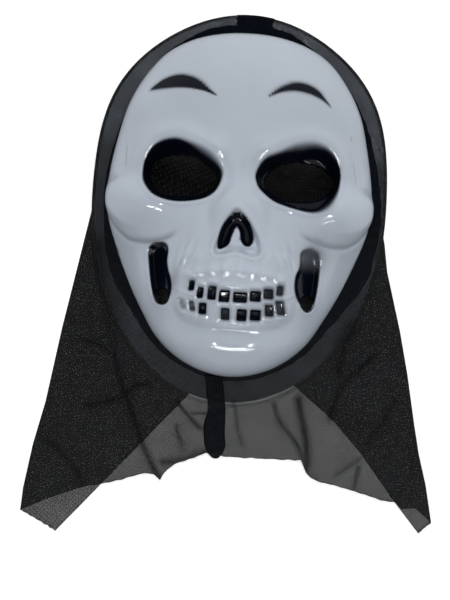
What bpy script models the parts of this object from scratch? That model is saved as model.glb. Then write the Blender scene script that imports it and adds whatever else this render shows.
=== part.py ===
"""Hooded skull face mask, lying on its back with the face up.

A thin moulded face shell with a flat rim stands on the folded gauze hood. The mask's own middle line is
X = 0, the crown is towards +Y, the face looks up along +Z, and Z = 0 is the surface it lies on.
All sizes below are millimetres and become metres when a mesh is made.
"""
import math

import bmesh
import bpy
import numpy as np

MM = 0.001

# Face shell
SHELL_WALL = 1.0
FLANGE_BASE = 4.0
FLANGE_TOP = FLANGE_BASE + SHELL_WALL
HUB = (0.0, 22.0)                    # middle of the polar grid, in the nose recess
SEGMENTS = 80
RINGS = 26
# Right half of the line where the wall meets the rim, from chin to crown.
WALL_FOOT = [(0, -68.5), (27, -62.5), (50, -46), (64, -25), (76, -2), (85, 20), (91.5, 46), (90.5, 70),
             (86, 94), (79, 116), (69, 134.5), (55.5, 150.5), (39, 160), (20, 165), (0, 166.5)]
# Height of the face above the ground along its middle line, from chin to crown.
PROFILE = [(-80, 58), (-47, 73), (-33, 71), (-18, 78), (2, 82), (22, 80), (42, 79), (60, 74), (75, 76),
           (95, 75), (120, 68), (145, 56), (175, 36)]
# How fast the face falls away from its middle line, per mm squared and times 1000.
FALL = [(-80, 9), (-40, 10.5), (0, 11.5), (30, 8), (60, 5), (100, 5), (130, 5.5), (175, 6)]

# Right-hand outlines on the face, round their own middles
EYE_HUB = (38.0, 61.0)
SOCKET = [(10, 62), (14, 50), (24, 44.5), (42, 43), (57, 45), (64, 55), (64.5, 67), (58, 79), (46, 85),
          (33, 81.5), (20, 73.5)]
EYE_HOLE = [(15.5, 60), (19, 52), (30, 47), (42, 46), (54, 48.5), (59.5, 56), (59, 66), (51, 73),
            (38, 74.5), (26, 70)]
SOCKET_DEPTH = 15.0
EYE_MESH_GROWTH = 1.06
PATCH_DROP = 4.6                     # from the top surface to a patch behind a hole
NOSE_HUB = (0.0, 25.0)
NOSE = [(0, 44), (7, 31), (15, 15), (0, 11), (-15, 15), (-7, 31)]
NOSE_DEPTH = 10.0
VENT = (48.5, -15.0)
VENT_RADIUS = 5.4

# Gauze hood
BAND_HALF_WIDTH = 102.7              # outer edge of the gauze that wraps the rim
BAND_TOP, BAND_BOTTOM = 183.5, -90.0
# How much fuller than an oval the rim is, and where: degrees from the crown, and spread
SHOULDER_FULLNESS, SHOULDER_TURN, SHOULDER_SPREAD = 0.055, 41.0, 20.0
BAND_WRAP = 3.0                      # how far the gauze stands outside the rim's edge
GAUZE = 0.8                          # thickness of one laid layer with its creases
BAND_THICKNESS = 0.6
BACK_Z = 0.0
FRONT_Z = BACK_Z + GAUZE + 0.3
GAP = 0.3
HEM_WIDTH, HEM_HEIGHT = 2.5, 0.8
NECK_APEX = (13.9, -36.4)
FOLD_Y = -95.0                       # the skirt folds up about this line
FOLD_Z = FRONT_Z + GAUZE + 0.1
FOLD_GAP = 0.5
# Silhouette of the hood from beside the cheek down to the fold line
LEFT_SIDE = [(-103.6, 36), (-111, -4), (-118.1, -42), (-126.5, -94.5)]
RIGHT_SIDE = [(103.4, 30), (106.5, 10.7), (118, -30), (125.1, -60), (132, -94.5)]
LEFT_SKIRT_SIDE = [(-126.5, -95.5), (-133.5, -125), (-138.4, -155.7), (-139.4, -171.4)]
RIGHT_SKIRT_SIDE = [(132, -95.5), (136.5, -115), (142.6, -136.1), (148.2, -162.6)]
# Free lower edges, from the outer corner inwards
LEFT_HEM = [(-119.7, -161.7), (-95.8, -152.2), (-70.9, -146.1), (-47.5, -140.4), (-33.3, -132.5),
            (-22.3, -128.3), (-10, -123.5)]
RIGHT_HEM = [(122.6, -150), (92.1, -143.5), (68.6, -138.7), (59.2, -133.7), (56, -124.4), (25.8, -125.3),
             (4.5, -125)]
LEFT_NECK_EDGE = [(-114.2, -184.7), (-37.2, -95.5)]
RIGHT_NECK_EDGE = [(139.5, -170.4), (119.8, -147.6), (96.2, -117.5), (75.2, -95.5)]
TAB_TOP, TAB_BOTTOM = (-4.5, -95.8), (-2.5, -123.5)
TAB_HALF_WIDTH = 5.5

# Elastic strap
STRAP_Y = 52.0
STRAP_BOW = 30.0                     # how far its middle hangs towards the chin
STRAP_REACH = 97.0
STRAP_JOIN = 82.0                    # where the free loop meets the stapled ends
STRAP_WIDTH, STRAP_THICKNESS = 7.0, 0.9
STRAP_Z = 2.7
STAPLE_HALF_SPAN = 6.0
STAPLE_WIRE = 0.7

MATERIALS = {
    # name: (colour, roughness)
    "white_plastic": ((0.45, 0.49, 0.53), 0.22),
    "black_gauze": ((0.012, 0.013, 0.014), 0.9),
    "dark_hem": ((0.008, 0.008, 0.009), 0.85),
    "eye_mesh": ((0.006, 0.006, 0.007), 0.8),
    "elastic": ((0.6, 0.6, 0.58), 0.8),
    "staple_steel": ((0.6, 0.6, 0.6), 0.35),
}


def clear_scene():
    for old in list(bpy.data.objects):
        bpy.data.objects.remove(old, do_unlink=True)


def material(name):
    """The named Principled material, made once."""
    found = bpy.data.materials.get(name)
    if found:
        return found
    colour, roughness = MATERIALS[name]
    made = bpy.data.materials.new(name)
    made.use_nodes = True
    shader = made.node_tree.nodes["Principled BSDF"]
    shader.inputs["Base Color"].default_value = (*colour, 1)
    shader.inputs["Roughness"].default_value = roughness
    shader.inputs["Metallic"].default_value = 1.0 if name == "staple_steel" else 0.0
    return made


def add_object(name, points_mm, faces, material_name, origin_mm=(0, 0, 0)):
    """A closed object from points in mm, with its origin where it is asked for."""
    origin = np.array(origin_mm, float)
    mesh = bpy.data.meshes.new(name)
    local = (np.array(points_mm, float) - origin) * MM
    mesh.from_pydata([tuple(p) for p in local], [], faces)
    work = bmesh.new()
    work.from_mesh(mesh)
    bmesh.ops.recalc_face_normals(work, faces=work.faces)
    work.to_mesh(mesh)
    work.free()
    mesh.materials.append(material(material_name))
    made = bpy.data.objects.new(name, mesh)
    made.location = origin * MM
    bpy.context.scene.collection.objects.link(made)
    return made


def step(low, high, x):
    """0 below low, 1 above high, smooth between."""
    t = np.clip((x - low) / (high - low), 0, 1)
    return t * t * (3 - 2 * t)


def bump(x, y, middle, size):
    """A round-topped hill 1 high."""
    return np.exp(-((x - middle[0]) / size[0]) ** 2 - ((y - middle[1]) / size[1]) ** 2)


def through(points, x):
    """A smooth line through a few (x, y) points."""
    xs, ys = np.array(points, float).T
    slopes = np.gradient(ys, xs)
    i = np.clip(np.searchsorted(xs, x) - 1, 0, len(xs) - 2)
    width = xs[i + 1] - xs[i]
    t = np.clip((x - xs[i]) / width, 0, 1)
    rise = (2 * t ** 3 - 3 * t ** 2 + 1) * ys[i] + (3 * t ** 2 - 2 * t ** 3) * ys[i + 1]
    return rise + ((t ** 3 - 2 * t ** 2 + t) * slopes[i] + (t ** 3 - t ** 2) * slopes[i + 1]) * width


def reach(outline, hub, angle):
    """Distance from the hub to a closed outline that can be seen whole from it, along each angle."""
    dx, dy = (np.array(outline, float) - hub).T
    turn, far = np.arctan2(dy, dx), np.hypot(dx, dy)
    order = np.argsort(turn)
    turn, far = turn[order], far[order]
    whole = 2 * math.pi
    turns = np.concatenate([turn - whole, turn, turn + whole])
    wrapped = (np.asarray(angle, float) + math.pi) % whole - math.pi
    return through(list(zip(turns, np.tile(far, 3))), wrapped)


def outside(outline, hub, x, y):
    """How far a point is outside an outline, measured from its hub; negative inside."""
    return np.hypot(x - hub[0], y - hub[1]) - reach(outline, hub, np.arctan2(y - hub[1], x - hub[0]))


def both_halves(right_half):
    return right_half + [(-x, y) for x, y in right_half[1:-1]]


def band_edge(angle, inset=0.0):
    """Point on the outer edge of the wrapped rim, an oval, as seen from HUB at each angle."""
    half_length = (BAND_TOP - BAND_BOTTOM) / 2 - inset
    half_width = BAND_HALF_WIDTH - inset
    drop = HUB[1] - (BAND_TOP + BAND_BOTTOM) / 2
    c, s = np.cos(angle) / half_width, np.sin(angle) / half_length
    k = drop / half_length
    far = (-s * k + np.sqrt((s * k) ** 2 - (c * c + s * s) * (k * k - 1))) / (c * c + s * s)
    off_shoulder = (np.abs(np.degrees(angle) - 90) - SHOULDER_TURN) / SHOULDER_SPREAD
    far = far * (1 + SHOULDER_FULLNESS * np.exp(-off_shoulder ** 2))
    return HUB[0] + far * np.cos(angle), HUB[1] + far * np.sin(angle)


def face_height(x, y, t):
    """Top surface of the face; t is 0 at HUB and 1 at the foot of the wall."""
    side = np.abs(x)
    dome = through(PROFILE, y) - through(FALL, y) * 0.001 * x ** 2
    dome += 9 * bump(side, y, (70, 44), (17, 14)) * step(20, 32, y)
    dome += 5 * bump(side, y, (0, -6), (32, 24))
    dome -= 4 * bump(side, y, (84, 88), (14, 22))
    dome += 3 * bump(side, y, (28, 118), (24, 20))
    dome -= 7 * bump(side, y, (52, 3), (10, 24))
    dome += 3 * bump(side, y, (0, 50), (8, 14))
    rim = outside(SOCKET, EYE_HUB, side, y)
    dome += 4 * np.exp(-((rim - 4) / 6) ** 2) * step(50, 80, y)
    dome -= SOCKET_DEPTH * (1 - step(-10, 3, rim))
    dome -= NOSE_DEPTH * (1 - step(-8, 2, outside(NOSE, NOSE_HUB, x, y)))
    wall = np.sqrt(np.clip(1 - t ** 7, 0, 1))
    return FLANGE_TOP + np.maximum(dome - FLANGE_TOP, 6) * wall


def ring_point(angles, share):
    """Points of the face grid a share of the way from HUB to the foot of the wall."""
    far = reach(both_halves(WALL_FOOT), HUB, angles) * share
    return HUB[0] + far * np.cos(angles), HUB[1] + far * np.sin(angles)


def shell_cutters():
    """Upright prisms through the eye and vent holes."""
    cutters = []
    turns = np.linspace(0, 2 * math.pi, 24, endpoint=False)
    for sign, side in ((-1, "left"), (1, "right")):
        far = reach(EYE_HOLE, EYE_HUB, turns)
        eye = [(sign * (EYE_HUB[0] + r * math.cos(a)), EYE_HUB[1] + r * math.sin(a)) for r, a in zip(far, turns)]
        vent = [(sign * VENT[0] + VENT_RADIUS * math.cos(a), VENT[1] + VENT_RADIUS * math.sin(a))
                for a in turns[::2]]
        cutters.append(plate(f"eye_cutter_{side}", eye, 20, 100, "white_plastic"))
        cutters.append(plate(f"vent_cutter_{side}", vent, 6, 100, "white_plastic"))
    for cutter in cutters:
        cutter.hide_render = True
        cutter.display_type = "WIRE"
    return cutters


def face_shell():
    """Moulded face, wall and flat rim as one skin, thickened inwards, with its holes cut."""
    turns = np.linspace(0, 2 * math.pi, SEGMENTS, endpoint=False) - math.pi / 2
    points = [(HUB[0], HUB[1], float(face_height(HUB[0], HUB[1], 0.0)))]
    for ring in range(1, RINGS + 1):
        along = ring / RINGS
        share = along * (1.5 - 0.5 * along)
        x, y = ring_point(turns, share)
        points += list(zip(x, y, face_height(x, y, np.full(SEGMENTS, share))))
    x, y = band_edge(turns, BAND_WRAP)
    points += list(zip(x, y, np.full(SEGMENTS, FLANGE_TOP)))
    faces = [(0, 1 + i, 1 + (i + 1) % SEGMENTS) for i in range(SEGMENTS)]
    for ring in range(RINGS):
        first = 1 + ring * SEGMENTS
        for i in range(SEGMENTS):
            j = (i + 1) % SEGMENTS
            faces.append((first + i, first + SEGMENTS + i, first + SEGMENTS + j, first + j))
    shell = add_object("face_shell", points, faces, "white_plastic")
    thick = shell.modifiers.new("wall", "SOLIDIFY")
    thick.thickness = SHELL_WALL * MM
    thick.offset = -1
    for cutter in shell_cutters():
        cut = shell.modifiers.new(cutter.name, "BOOLEAN")
        cut.operation = "DIFFERENCE"
        cut.solver = "EXACT"
        cut.object = cutter
    shell.data.shade_smooth()
    return shell


def plate(name, outline, low, high, material_name, origin=(0, 0, 0)):
    """A flat plate with the given outline between two heights."""
    count = len(outline)
    points = [(x, y, low) for x, y in outline] + [(x, y, high) for x, y in outline]
    faces = [tuple(range(count))[::-1], tuple(range(count, 2 * count))]
    faces += [(i, (i + 1) % count, count + (i + 1) % count, count + i) for i in range(count)]
    return add_object(name, points, faces, material_name, origin)


def turned_ring(name, sections, material_name):
    """A closed ring; sections holds, in order round its cross-section, (x, y, z) arrays round the face."""
    count = len(sections[0][0])
    points = [p for x, y, z in sections for p in zip(x, y, np.full(count, z))]
    faces = []
    for k in range(len(sections)):
        here, there = k * count, (k + 1) % len(sections) * count
        for i in range(count):
            j = (i + 1) % count
            faces.append((here + i, here + j, there + j, there + i))
    return add_object(name, points, faces, material_name)


def foot_ring(turns, out):
    """Points a little outside the foot of the wall."""
    far = reach(both_halves(WALL_FOOT), HUB, turns) + out
    return HUB[0] + far * np.cos(turns), HUB[1] + far * np.sin(turns)


def rim_band():
    """Gauze stretched over the rim and down its outer edge."""
    turns = np.linspace(0, 2 * math.pi, SEGMENTS, endpoint=False) - math.pi / 2
    low, high = FLANGE_TOP + GAP, FLANGE_TOP + GAP + BAND_THICKNESS
    inner, over = foot_ring(turns, 1.0), band_edge(turns, BAND_WRAP - 0.6)
    foot, outer_foot = band_edge(turns, 0.7), band_edge(turns, 0.0)
    shoulder = band_edge(turns, BAND_WRAP - 1.3)
    sections = [(*inner, low), (*over, low), (*foot, FRONT_Z), (*outer_foot, FRONT_Z), (*shoulder, high),
                (*inner, high)]
    return turned_ring("rim_band", sections, "black_gauze")


def rim_hem():
    """The folded edge of the gauze, a narrow ring at the foot of the wall."""
    turns = np.linspace(0, 2 * math.pi, SEGMENTS, endpoint=False) - math.pi / 2
    low = FLANGE_TOP + 2 * GAP + BAND_THICKNESS
    inner, outer = foot_ring(turns, 1.2), foot_ring(turns, 1.2 + HEM_WIDTH)
    sections = [(*inner, low), (*outer, low), (*outer, low + HEM_HEIGHT), (*inner, low + HEM_HEIGHT)]
    return turned_ring("rim_hem", sections, "dark_hem")


def crown_seam():
    """Overlapped join of the gauze on the rim at the crown."""
    low = FLANGE_TOP + 2 * GAP + BAND_THICKNESS
    outline = [(-9, 170.6), (16, 170.6), (14.5, 179), (3, 180), (-8, 179)]
    return plate("crown_seam", outline, low, low + HEM_HEIGHT, "dark_hem")


def mesh_patch(name, hub, outline, growth, sign):
    """A gauze patch following the inside of the shell behind a hole."""
    turns = np.linspace(0, 2 * math.pi, 20, endpoint=False)
    shares = (0.45, 0.8, 1.0)
    flat = [(0.0, 0.0)]
    for share in shares:
        far = reach(outline, hub, turns) * growth * share
        flat += list(zip(far * np.cos(turns), far * np.sin(turns)))
    x = np.array([p[0] for p in flat]) + hub[0]
    y = np.array([p[1] for p in flat]) + hub[1]
    top = face_height(x, y, grid_share(x, y)) - PATCH_DROP
    count, rows = len(flat), len(turns)
    points = [(sign * a, b, c) for a, b, c in zip(x, y, top)]
    points += [(sign * a, b, c - BAND_THICKNESS) for a, b, c in zip(x, y, top)]
    faces = []
    for level in (0, count):
        faces += [(level, level + 1 + i, level + 1 + (i + 1) % rows) for i in range(rows)]
        for ring in range(len(shares) - 1):
            a, b = level + 1 + ring * rows, level + 1 + (ring + 1) * rows
            faces += [(a + i, b + i, b + (i + 1) % rows, a + (i + 1) % rows) for i in range(rows)]
    rim = 1 + (len(shares) - 1) * rows
    for i in range(rows):
        j = (i + 1) % rows
        faces.append((rim + i, rim + j, count + rim + j, count + rim + i))
    return add_object(name, points, faces, "eye_mesh")


def grid_share(x, y):
    """How far out a point is on the face grid: 0 at HUB, 1 at the foot of the wall."""
    angle = np.arctan2(y - HUB[1], x - HUB[0])
    return np.hypot(x - HUB[0], y - HUB[1]) / reach(both_halves(WALL_FOOT), HUB, angle)


def round_hole(middle, radius):
    return [(middle[0] + radius * math.cos(a), middle[1] + radius * math.sin(a))
            for a in np.linspace(0, 2 * math.pi, 12, endpoint=False)]


def band_arc(first, last, grow, count):
    """Points just outside the wrapped rim between two angles in degrees, seen from HUB."""
    turns = np.radians(np.linspace(first, last, count))
    return list(zip(*(c.tolist() for c in band_edge(turns, -grow))))


def hood_layers():
    """The back layer under the mask and the front layer beside the jaw."""
    crown = band_arc(6, 171, 0, 24)
    fold = FOLD_Y + FOLD_GAP
    outline = crown + LEFT_SIDE[:-1] + [(LEFT_SIDE[-1][0], fold)]
    outline += [(-36.4, fold), NECK_APEX, (46.4, -72.9), (74.4, fold)]
    outline += [(RIGHT_SIDE[-1][0], fold)] + RIGHT_SIDE[:-1][::-1]
    plate("hood_back_panel", outline, BACK_Z, BACK_Z + GAUZE, "black_gauze")
    left = LEFT_SIDE + [(-12.0, fold)] + band_arc(264, 176, 0.6, 14)
    right = RIGHT_SIDE + [(3.0, fold)] + band_arc(272, 363, 0.6, 14)
    plate("hood_side_left", left, FRONT_Z, FRONT_Z + GAUZE, "black_gauze")
    plate("hood_side_right", right, FRONT_Z, FRONT_Z + GAUZE, "black_gauze")
    seam = [(-4, 170), (4, 170), (8, -22), (0, -22)]
    plate("back_seam", seam, FRONT_Z, FRONT_Z + GAUZE, "dark_hem")


def skirt():
    """Everything below the fold line; each piece's origin is on the fold axis."""
    axis = (0, FOLD_Y, FOLD_Z)
    tab_left, tab_right = TAB_TOP[0] - TAB_HALF_WIDTH, TAB_TOP[0] + TAB_HALF_WIDTH
    top = LEFT_SKIRT_SIDE[0][1]
    front_left = LEFT_SKIRT_SIDE + LEFT_HEM + [(tab_left - GAP, top)]
    front_right = RIGHT_SKIRT_SIDE + RIGHT_HEM + [(tab_right + GAP, top)]
    back_left = LEFT_SKIRT_SIDE + LEFT_NECK_EDGE
    back_right = RIGHT_SKIRT_SIDE + RIGHT_NECK_EDGE
    front = (FRONT_Z, FRONT_Z + GAUZE, "black_gauze", axis)
    back = (BACK_Z, BACK_Z + GAUZE, "black_gauze", axis)
    plate("skirt_front_left", front_left, *front)
    plate("skirt_front_right", front_right, *front)
    plate("skirt_back_left", back_left, *back)
    plate("skirt_back_right", back_right, *back)
    tab = [(TAB_TOP[0] - TAB_HALF_WIDTH, TAB_TOP[1]), (TAB_TOP[0] + TAB_HALF_WIDTH, TAB_TOP[1]),
           (TAB_BOTTOM[0] + TAB_HALF_WIDTH, TAB_BOTTOM[1]), (TAB_BOTTOM[0], TAB_BOTTOM[1] - 1.5),
           (TAB_BOTTOM[0] - TAB_HALF_WIDTH, TAB_BOTTOM[1])]
    plate("chin_seam_tab", tab, FRONT_Z, FOLD_Z, "dark_hem", axis)


def strap_line(x):
    """The strap's middle line: straight across under the rim, bowed towards the chin between."""
    return STRAP_Y - STRAP_BOW * (1 - (np.minimum(np.abs(x), 92.0) / 92.0) ** 2)


def strap_run(name, first, last, origin):
    x = np.linspace(first, last, 15)
    y = strap_line(x)
    slope = np.gradient(y, x)
    length = np.hypot(1, slope)
    half = STRAP_WIDTH / 2
    upper = list(zip(x - slope / length * half, y + half / length))
    lower = list(zip(x + slope / length * half, y - half / length))
    return plate(name, upper + lower[::-1], STRAP_Z, STRAP_Z + STRAP_THICKNESS, "elastic", origin)


def staple(name, x):
    """A wire bridge under the strap with a leg up either side of it."""
    crown_low = STRAP_Z - GAP - STAPLE_WIRE
    half, leg = STAPLE_WIRE / 2, FLANGE_BASE - GAP
    outer, inner = STAPLE_HALF_SPAN + STAPLE_WIRE, STAPLE_HALF_SPAN
    side = [(-outer, crown_low), (outer, crown_low), (outer, leg), (inner, leg),
            (inner, crown_low + STAPLE_WIRE), (-inner, crown_low + STAPLE_WIRE), (-inner, leg), (-outer, leg)]
    points = [(x + dx, STRAP_Y + y, z) for dx in (-half, half) for y, z in side]
    count = len(side)
    faces = [tuple(range(count)), tuple(range(count, 2 * count))]
    faces += [(i, (i + 1) % count, count + (i + 1) % count, count + i) for i in range(count)]
    return add_object(name, points, faces, "staple_steel")


def strap():
    """The swinging loop, its two stapled ends and the staples."""
    axis = (0, STRAP_Y, STRAP_Z + STRAP_THICKNESS / 2)
    strap_run("elastic_strap", -STRAP_JOIN + GAP, STRAP_JOIN - GAP, axis)
    strap_run("strap_end_left", -STRAP_REACH, -STRAP_JOIN, (0, 0, 0))
    strap_run("strap_end_right", STRAP_JOIN, STRAP_REACH, (0, 0, 0))
    staple("strap_staple_left", -(STRAP_REACH - 2.5))
    staple("strap_staple_right", STRAP_REACH - 2.5)


def main():
    clear_scene()
    face_shell()
    rim_band()
    rim_hem()
    crown_seam()
    for sign, side in ((-1, "left"), (1, "right")):
        mesh_patch(f"eye_mesh_{side}", EYE_HUB, EYE_HOLE, EYE_MESH_GROWTH, sign)
        mesh_patch(f"vent_mesh_{side}", VENT, round_hole(VENT, VENT_RADIUS), 1.3, sign)
    hood_layers()
    skirt()
    strap()


main()
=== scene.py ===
"""Looks of the hooded skull face mask: a glossy painted shell wrapped in black gauze, lying on its back.

Distances in the shape code are millimetres and become metres when a mesh is made.
"""
import functools
import math

import bmesh
import bpy
import numpy as np
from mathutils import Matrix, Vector

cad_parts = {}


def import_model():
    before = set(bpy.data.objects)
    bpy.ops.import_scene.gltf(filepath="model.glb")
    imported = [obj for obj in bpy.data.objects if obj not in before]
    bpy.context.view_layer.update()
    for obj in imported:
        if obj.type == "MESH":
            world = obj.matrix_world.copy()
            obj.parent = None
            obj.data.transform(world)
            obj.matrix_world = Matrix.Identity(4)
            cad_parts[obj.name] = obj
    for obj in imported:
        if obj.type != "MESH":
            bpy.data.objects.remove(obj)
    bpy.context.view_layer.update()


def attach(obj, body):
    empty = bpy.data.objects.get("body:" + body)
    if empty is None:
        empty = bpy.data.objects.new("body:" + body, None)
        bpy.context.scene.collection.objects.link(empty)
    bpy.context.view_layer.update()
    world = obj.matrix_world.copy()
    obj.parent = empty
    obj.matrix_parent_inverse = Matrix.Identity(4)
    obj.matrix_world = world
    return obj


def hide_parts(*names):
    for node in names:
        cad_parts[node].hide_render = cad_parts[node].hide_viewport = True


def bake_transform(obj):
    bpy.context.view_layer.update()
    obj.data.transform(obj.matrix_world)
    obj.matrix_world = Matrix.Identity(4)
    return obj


MM = 0.001
WHOLE_TURN = 2 * math.pi

# Shared heights and outlines, as in the CAD solids
FLANGE_BASE, FLANGE_TOP = 4.0, 5.0
SHELL_WALL = 1.0
HUB = (0.0, 22.0)
BAND_HALF_WIDTH, BAND_TOP, BAND_BOTTOM = 102.7, 183.5, -90.0
# How much fuller than an oval the rim is, and where: degrees from the crown, and spread
SHOULDER_FULLNESS, SHOULDER_TURN, SHOULDER_SPREAD = 0.055, 41.0, 20.0
BAND_WRAP = 3.0
STRAP_Y, STRAP_BOW, STRAP_REACH, STRAP_FREE = 52.0, 30.0, 97.0, 92.0
STRAP_WIDTH, STRAP_THICKNESS, STRAP_Z = 7.0, 0.9, 2.7
SEAM_TOP, SEAM_LENGTH, SEAM_DRIFT = 169, 190, 4

# Face shell
WALL_FOOT = [(0, -68.5), (27, -62.5), (50, -46), (64, -25), (76, -2), (85, 20), (91.5, 46), (90.5, 70),
             (86, 94), (79, 116), (69, 134.5), (55.5, 150.5), (39, 160), (20, 165), (0, 166.5)]
PROFILE = [(-80, 58), (-47, 73), (-33, 71), (-18, 78), (2, 82), (22, 80), (42, 79), (60, 74), (75, 76),
           (95, 75), (120, 69), (145, 60), (175, 46)]
FALL = [(-80, 9), (-40, 10.5), (0, 11.5), (30, 8), (60, 5), (95, 4.2), (130, 4), (175, 5)]
FACE_RAYS, FACE_RINGS = 520, 180
SOCKETS = [
    [(-63.5, 63), (-61.5, 72.5), (-55, 80), (-44, 83), (-34, 80.5), (-22, 74.5), (-14, 67), (-12, 60),
     (-16, 50.5), (-25, 45), (-40, 43.5), (-54, 47), (-61.5, 55)],
    [(8.5, 64), (13, 72), (22, 77), (33, 82), (44.5, 84.5), (54, 82.5), (61, 76), (63.5, 67), (61.5, 56),
     (56, 46.5), (48, 42), (36, 42.5), (22, 46), (12.5, 52.5), (9, 58)],
]
EYE_HOLES = [
    [(-58.8, 65.3), (-56.8, 69.9), (-51.9, 73), (-43.1, 74.8), (-32.9, 73.9), (-23.7, 69.4), (-17, 64.1),
     (-15.6, 59), (-19, 53.2), (-28.8, 49.6), (-41.5, 48.7), (-51, 50.4), (-56.8, 56.2)],
    [(14.6, 60.5), (17.8, 66.6), (23.9, 71.1), (33.9, 74.1), (44, 74.3), (53.1, 72.3), (58.6, 67.6), (60, 62),
     (55.8, 56), (48, 51.4), (37.9, 49.6), (27.8, 50), (18.6, 54.3)],
]
SOCKET_DEPTH = 15.0
# Where the sprayed paint thins out inside a socket: centre, then direction, spread in degrees and width
OVERSPRAY = [((-38, 62), 38, 34, 5.0), ((37, 62), 90, 34, 5.5), ((37, 62), -42, 26, 5.0)]
NOSE = [(-2.3, 40.5), (-6.9, 36), (-10.2, 30), (-12.6, 23), (-14.6, 16.4), (-14, 11.8), (-10, 10.7),
        (-0.9, 13), (7.9, 10.8), (12.9, 11.6), (14.6, 16.5), (12.4, 24), (7.6, 32), (2.8, 37.6)]
NOSE_PIT = [(-2.3, 37.8), (-6.7, 33.8), (-9.6, 29.5), (-11.2, 24.6), (-12.1, 19), (-11.4, 15.4), (-8.8, 16),
            (-5.6, 18.8), (-4.2, 23.6), (-2.4, 28.4), (-0.6, 29.2), (1.2, 26.2), (1.8, 22), (4, 18.6),
            (7.2, 18.2), (9.2, 21.6), (8.4, 26.9), (6.2, 31.9), (2.3, 36.3)]
# Creases under the cheekbones: distance from the middle, and y
LEFT_CREASE = [(30, 28), (36, 26.5), (45, 22.5), (55, 20.2), (65, 20.6), (74, 23), (81, 28.5), (94, 42)]
RIGHT_CREASE = [(30, 34), (41, 28), (51, 25), (64, 24), (76, 26.7), (86, 34.5), (94, 44)]
CHANNELS = [
    [(-58, 12), (-56, 17.3), (-51, 19), (-46, 18.5), (-43.4, 14.5), (-43.8, 7), (-42.6, 1), (-40.6, -4),
     (-39.6, -10), (-40.6, -16), (-42.5, -20), (-46, -21.8), (-50.6, -20.6), (-53.5, -15), (-56, -4)],
    [(40, 17), (39.8, 8), (37.5, 2), (37, -5), (39, -11.5), (43, -17), (47.5, -21), (51.7, -19.4),
     (53.5, -14), (54.6, -7), (55.2, 4), (55, 12), (52.5, 18.5), (46, 20.5)],
]
CHANNEL_DEPTH = 9.0
VENTS, VENT_RADIUS = [(-47.3, -16.0), (48.0, -15.3)], 5.0
# Gaps between the teeth: middle x, middle y, width, height, lean, and how black they are painted
TOOTH_GAPS = [
    (-26.6, -8.2, 3.8, 6.6, 0.1, 1), (-21, -12.4, 4.1, 7, 0.08, 1), (-13.8, -12.1, 5.4, 8.7, 0.04, 1),
    (-6.2, -13.6, 6.6, 7.6, 0.06, 1), (3.4, -13.8, 8.6, 6.6, 0, 1), (12.6, -12.6, 7, 6.6, 0, 1),
    (20.6, -10.7, 6.3, 6.3, -0.06, 0.95), (27.7, -8.2, 4.3, 6.3, 0.05, 0.9),
    (-32, -20, 3.8, 5.9, -0.35, 0.5), (-25.8, -20.8, 3.6, 6.4, -0.2, 0.8), (-19.1, -22, 5, 7.4, 0, 1),
    (-5, -24.4, 5.5, 7.7, -0.05, 0.95), (5.1, -24.5, 6.3, 7.7, 0, 1), (13.5, -24.1, 6.8, 7, 0, 1),
    (21.9, -20.8, 5.6, 7.4, -0.1, 0.95), (28.9, -18.8, 5.4, 8.8, -0.25, 0.9),
]
UPPER_GAPS = 8
TOOTH_GAP_DEPTH = 4.2
TOOTH_ROOTS = (-30.5, -23, -15, -6.5, 2.5, 11, 19.5, 27.5)
BROWS = [
    [(-62, 115.8), (-55.4, 121.5), (-48.6, 124.2), (-41.7, 124.7), (-34.9, 122.8), (-29.3, 119.7),
     (-24.3, 115.2), (-18.2, 109.8), (-26.2, 112.4), (-34.3, 114.2), (-42.5, 115.2), (-52.2, 115.4)],
    [(12.9, 111), (19.1, 117.2), (25.6, 121.1), (30.9, 122.8), (37.7, 122.6), (44.8, 119.8), (49.3, 115.4),
     (54.4, 109.8), (46.6, 113.7), (38.1, 116.1), (29.9, 116.4), (21.9, 114.7)],
]
# Short dark strokes near the temples: painted shade along fine creases, and smudges
SMUDGES_AND_CREASE_SHADE = [[(-76.8, 82), (-76.1, 68)], [(-84.9, 58.5), (-81.4, 60.8)], [(69.7, 95), (70.5, 92)],
          [(72.8, 78), (75.2, 65.5)], [(80.7, 59.2), (86.8, 57.8)]]

# Hood. Sides run from the shoulder, where the cloth leaves the rim, down to the tip of each corner
LEFT_SIDE = [(-103.6, 36), (-111, -4), (-118.1, -42), (-126.5, -94.5), (-133.5, -125), (-138.4, -155.7),
             (-139.4, -171.4)]
RIGHT_SIDE = [(148.2, -162.6), (142.6, -136.1), (136.5, -115), (132, -94.5), (125.1, -60), (118, -30),
              (106.5, 10.7), (103.4, 30)]
FRONT_HEM = [(-119.7, -161.7), (-95.8, -152.2), (-84, -149.7), (-70.9, -146.1), (-54.5, -140.4),
             (-47.5, -140.6), (-43, -144.3), (-40.6, -139.2), (-33.3, -132.5), (-22.3, -128.3),
             (-12.9, -123.5), (2, -125.3), (25.8, -125.3), (54.3, -124.4), (58.6, -133.3), (62, -136.3),
             (68.6, -138.7), (92.1, -143.5), (111.3, -148.6), (122.6, -150), (126.7, -154.1), (136.7, -153)]
BACK_HEM = [(-119.7, -181.5), (-114.2, -184.7), (-37.2, -95.5), (13.9, -36.4), (46.4, -72.9), (75.2, -95.5),
            (96.2, -117.5), (119.8, -147.6), (139.5, -170.4)]
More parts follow.
